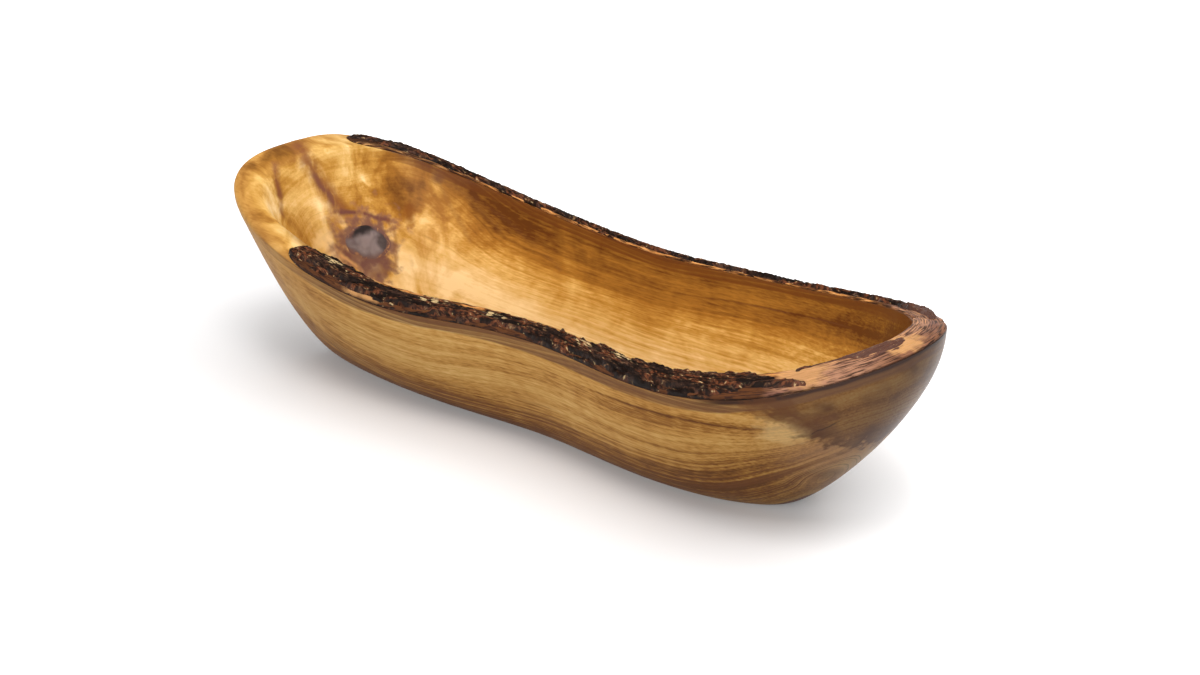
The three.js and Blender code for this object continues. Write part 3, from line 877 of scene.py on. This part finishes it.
def makeKnotWood():
    material, tree, shader = newMaterial("knotWood", knotFinish["shader"])
    within = rangesOf(tree, knotFinish["ranges"])
    place = objectPlace(tree)
    z = axesOf(tree, place)[2]
    grain = noisesOf(tree, place, knotFinish["noises"])
    fray, swirl = centred(tree, grain["fray"]), grain["swirl"]
    wide = calc(tree, "MULTIPLY_ADD", centred(tree, swirl), knotFinish["ringWander"], mark(tree, "level"))
    colour = tint(tree, within("smoky", swirl), knotFinish["core"], knotFinish["smoky"])
    colour = tint(tree, within("smokyEdge", wide), colour, knotFinish["smoky"])
    for centre, size, strength in knotFinish["shadows"]:
        shadow = product(tree, patch(tree, place, fray, centre, size, *knotFinish["shadowEdge"]), strength)
        colour = tint(tree, shadow, colour, knotFinish["dark"])
    edge = calc(tree, "MAXIMUM", within("low", z), within("rim", wide))
    colour = tint(tree, edge, colour, knotFinish["rim"])
    wisps = calc(tree, "ABSOLUTE", centred(tree, grain["wisps"]))
    wisps = product(tree, within("wisps", wisps), within("wispPlaces", wide))
    colour = tint(tree, wisps, colour, knotFinish["amber"])
    tree.links.new(colour, shader["Base Color"])
    return material


skinFinish = {
    "shader": {"Specular IOR Level": 0.12, "Roughness": 0.5},
    "bump": {"Strength": 0.7, "Distance": 0.5 * mm},
    "brown": (0.1, 0.036, 0.013), "orange": (0.55, 0.22, 0.055), "dark": (0.026, 0.01, 0.007),
    "peach": (0.62, 0.32, 0.12), "pink": (0.44, 0.22, 0.128), "deep": (0.055, 0.021, 0.009),
    "red": (0.27, 0.115, 0.06), "mauve": (0.17, 0.072, 0.05),
    "fray": ((9, 5, 5), 3),
    "noises": {  # along and across the strip
        "fibres": ((8, 0.7, 1), 4, 0.3), "patches": ((20, 4, 1), 3, 0.3), "blotches": ((17, 4.5, 1), 4, 0.5),
    },
    "ranges": {
        "orange": (0.77, 0.89), "pinkFrom": (146, 157, 0, 0.8), "pinkTo": (184, 196, 1, 0.25),
        "blotches": (0.46, 0.6, 0, 0.8), "blotchedFrom": (143, 152), "deep": (-150, -95, 0.85, 0),
        "red": (186, 196, 0, 0.7), "dark": (0.46, 0.6, 0, 0.9), "pale": (0.34, 0.5, 0.7, 0),
        "palePlaces": (0.74, 0.92),
    },
    "orangeInward": 0.45, "brightEdge": (2, 0.4),
    "bright": [  # centre, size, strength
        ((161.7, -40.1, 85.3), (11, 8, 9), 0.6), ((191, -8.8, 99.2), (7, 9, 9), 0.75),
        ((-84.4, -61, 66), (13, 5, 5), 0.7),
    ],
}


def makeInnerBark():
    material, tree, shader = newMaterial("innerBark", skinFinish["shader"])
    within = rangesOf(tree, skinFinish["ranges"])
    place = objectPlace(tree)
    x = axesOf(tree, place)[0]
    fray = centred(tree, grainNoise(tree, place, *skinFinish["fray"]))
    grain = noisesOf(tree, stripPlace(tree), skinFinish["noises"])
    orange = calc(tree, "MULTIPLY_ADD", mark(tree, "inward"), skinFinish["orangeInward"], grain["patches"])
    colour = tint(tree, within("orange", orange), skinFinish["brown"], skinFinish["orange"])
    pink = product(tree, within("pinkFrom", x), within("pinkTo", x))
    blotches = product(tree, within("blotches", grain["blotches"]), within("blotchedFrom", x))
    pale = product(tree, within("pale", grain["fibres"]), within("palePlaces", orange))
    layers = {
        "pink": pink, "mauve": blotches, "deep": within("deep", x), "red": within("red", x),
        "dark": within("dark", grain["fibres"]), "peach": pale,
    }
    for name, share in layers.items():
        colour = tint(tree, share, colour, skinFinish[name])
    for centre, size, strength in skinFinish["bright"]:
        bright = product(tree, patch(tree, place, fray, centre, size, *skinFinish["brightEdge"]), strength)
        colour = tint(tree, bright, colour, skinFinish["peach"])
    tree.links.new(colour, shader["Base Color"])
    raiseGrain(tree, shader, grain["fibres"], skinFinish["bump"])
    return material


crustFinish = {
    "shader": {"Specular IOR Level": 0.14, "Roughness": 0.42},
    "bump": {"Strength": 0.8, "Distance": 0.6 * mm},
    "crack": (0.006, 0.003, 0.002), "plate": (0.02, 0.01, 0.007), "weathered": (0.072, 0.033, 0.02),
    "strawAndGlint": (0.58, 0.41, 0.2), "red": (0.16, 0.05, 0.02), "tan": (0.22, 0.11, 0.05),
    "flake": (0.12, 0.052, 0.036),
    "noises": {  # along and across the strip
        "grit": ((2.6, 0.8, 1), 4), "broad": ((18, 5, 1), 3), "slivers": ((5, 0.8, 1), 3),
    },
    "ranges": {
        "weathered": (0.45, 0.75), "worn": (0.46, 0.56), "wornSlivers": (0.36, 0.52),
        "tan": (0.34, 0.42, 0.6, 0), "gritCracks": (0.45, 0.57, 0, 0.85), "cracks": (0.3, 0.7, 0.9, 0),
        "flake": (150, 175, 0, 0.7), "flecks": (0.3, 0.38, 0.75, 0), "fleckPlaces": (0.42, 0.52),
        "chipSlivers": (0.43, 0.5, 0.9, 0),
    },
    "wornShare": 0.9, "chipWidth": 1.6, "chipEdge": (2.2, 0.3),
    "chips": [  # share of the way round the rim, place across it, length
        (0.612, 0.75, 5), (0.686, 0.55, 8), (0.728, 0.5, 6), (0.79, 0.6, 5), (0.82, 0.7, 5),
    ],
}


def makeOuterBark():
    material, tree, shader = newMaterial("outerBark", crustFinish["shader"])
    within = rangesOf(tree, crustFinish["ranges"])
    strip = stripPlace(tree)
    x = axesOf(tree, objectPlace(tree))[0]
    grain = noisesOf(tree, strip, crustFinish["noises"])
    grit, broad, slivers = grain["grit"], grain["broad"], grain["slivers"]
    weathered = within("weathered", mark(tree, "tone"))
    colour = tint(tree, weathered, crustFinish["plate"], crustFinish["weathered"])
    worn = product(tree, within("worn", broad), within("wornSlivers", slivers))
    layers = [
        ("red", product(tree, worn, crustFinish["wornShare"])), ("tan", within("tan", slivers)),
        ("crack", within("gritCracks", grit)), ("crack", within("cracks", mark(tree, "standing"))),
        ("flake", within("flake", x)),
    ]
    for name, share in layers:
        colour = tint(tree, share, colour, crustFinish[name])
    # straw-coloured flecks and chips; the fine flecks are partly painted glints on the crust's ridges
    flecks = product(tree, within("flecks", grit), within("fleckPlaces", broad))
    fray = centred(tree, slivers)
    chipSlivers = within("chipSlivers", slivers)
    for share, across, length in crustFinish["chips"]:
        centre = (share * rimLength, across * rimWidthAt(share), 0)
        size = (length, crustFinish["chipWidth"], 1)
        chip = patch(tree, strip, fray, centre, size, *crustFinish["chipEdge"])
        flecks = calc(tree, "MAXIMUM", flecks, product(tree, chip, chipSlivers))
    colour = tint(tree, flecks, colour, crustFinish["strawAndGlint"])
    tree.links.new(colour, shader["Base Color"])
    raiseGrain(tree, shader, grit, crustFinish["bump"])
    return material


woodMaterial = makeWood()
knotMaterial = makeKnotWood()
innerBark = makeInnerBark()
outerBark = makeOuterBark()
print("finishes made")

makeBowl(woodMaterial)
makeKnot(knotMaterial)
makeBark("frontInnerBark", frontSkin, innerBark, "front_inner_bark")
makeBark("rearInnerBark", rearSkin, innerBark, "rear_inner_bark")
makeBark("rightInnerBark", rightSkin, innerBark, "right_end_inner_bark")
makeBark("frontOuterBark", frontCrust, outerBark, "front_outer_bark")
makeBark("rearOuterBark", rearCrust, outerBark, "rear_outer_bark")
makeBark("rightOuterBark", rightCrust, outerBark, "right_end_outer_bark")

# Studio: white floor, soft overhead light, camera at the photograph's angle
studio = {
    "floorHalf": 8, "floorDrop": 0.0002,
    "floorShader": {"Roughness": 0.4, "Specular IOR Level": 0.25, "Emission Color": (1, 1, 1, 1)},
    "floorColour": (0.8, 0.79, 0.79), "floorBounce": (0.18, 0.17, 0.17), "floorLift": (0.06, 0.7),
    "glowCentre": (-0.09, -0.12, 0), "sweep": (0.2, 0.44),
    "skyline": (0.13, 0.36), "ambient": 0.25, "horizon": 1, "sky": 0.15,
    "lampAim": (0, 0, 0.05),
    "lamps": [  # place, size, power, and whether the wood mirrors it
        ((0.25, 0.35, 1.65), (1.7, 1.7), 22, False), ((0.38, -0.48, 1.47), (0.7, 0.7), 12, True),
        ((0.15, -1.75, 0.62), (1.8, 0.6), 24, False), ((-0.5, 1.7, 0.75), (1.6, 0.6), 10, False),
    ],
}
lens = {"azimuth": 41, "elevation": 23.5, "distance": 1.376, "aim": (-0.00665, 0.01963, 0.0366), "focal": 85}


def whiteForViewers(tree):  # 1 for camera, glossy and transmission rays
    path = put(tree, "ShaderNodeLightPath").outputs
    seen = calc(tree, "MAXIMUM", path["Is Camera Ray"], path["Is Glossy Ray"])
    return calc(tree, "MAXIMUM", seen, path["Is Transmission Ray"])


def makeStudio():
    bm = bmesh.new()
    bmesh.ops.create_grid(bm, x_segments=1, y_segments=1, size=studio["floorHalf"])
    bmesh.ops.translate(bm, verts=bm.verts, vec=(0, 0, -studio["floorDrop"]))
    mesh = bpy.data.meshes.new("floor")
    bm.to_mesh(mesh)
    bm.free()
    floor = bpy.data.objects.new("floor", mesh)
    scene.collection.objects.link(floor)
    material, tree, shader = newMaterial("paleFloor", studio["floorShader"])
    seen = whiteForViewers(tree)
    tree.links.new(tint(tree, seen, studio["floorBounce"], studio["floorColour"]), shader["Base Color"])
    # painted light: for viewers the floor glows, faintly near the bowl and strongly further from a point in
    # front and left of it, which thins the bowl's shadow on the right
    place = put(tree, "ShaderNodeTexCoord").outputs["Object"]
    away = calcVector(tree, "DISTANCE", place, studio["glowCentre"])
    lift = calc(tree, "MULTIPLY", seen, between(tree, away, *studio["sweep"], *studio["floorLift"]))
    tree.links.new(lift, shader["Emission Strength"])
    mesh.materials.append(material)

    world = bpy.data.worlds.new("studioWorld")
    world.use_nodes = True
    tree = world.node_tree
    background = tree.nodes["Background"].inputs
    background["Color"].default_value = (1, 1, 1, 1)
    direction = put(tree, "ShaderNodeTexCoord").outputs["Generated"]
    height = axesOf(tree, direction)["Z"]
    backdrop = between(tree, height, *studio["skyline"], studio["horizon"], studio["sky"])
    seen = whiteForViewers(tree)
    level = put(tree, "ShaderNodeMix", {0: seen, 2: studio["ambient"], 3: backdrop}).outputs[0]
    tree.links.new(level, background["Strength"])
    scene.world = world

    for number, (place, size, power, mirrored) in enumerate(studio["lamps"]):
        light = bpy.data.lights.new(f"softLamp{number}", "AREA")
        light.shape = "RECTANGLE"
        light.size, light.size_y = size
        light.energy = power
        holder = bpy.data.objects.new(light.name, light)
        holder.location = place
        back = holder.location - Vector(studio["lampAim"])
        holder.rotation_euler = back.to_track_quat("Z", "Y").to_euler()
        holder.visible_glossy = mirrored
        scene.collection.objects.link(holder)


def makeCamera():
    azimuth, elevation = math.radians(lens["azimuth"]), math.radians(lens["elevation"])
    level = math.cos(elevation)
    back = Vector((math.sin(azimuth) * level, -math.cos(azimuth) * level, math.sin(elevation)))
    camera = bpy.data.objects.new("camera", bpy.data.cameras.new("camera"))
    camera.data.lens = lens["focal"]
    camera.location = Vector(lens["aim"]) + back * lens["distance"]
    camera.rotation_euler = back.to_track_quat("Z", "Y").to_euler()
    scene.collection.objects.link(camera)
    scene.camera = camera


makeStudio()
makeCamera()
scene.view_settings.view_transform = "Standard"
print("studio ready")
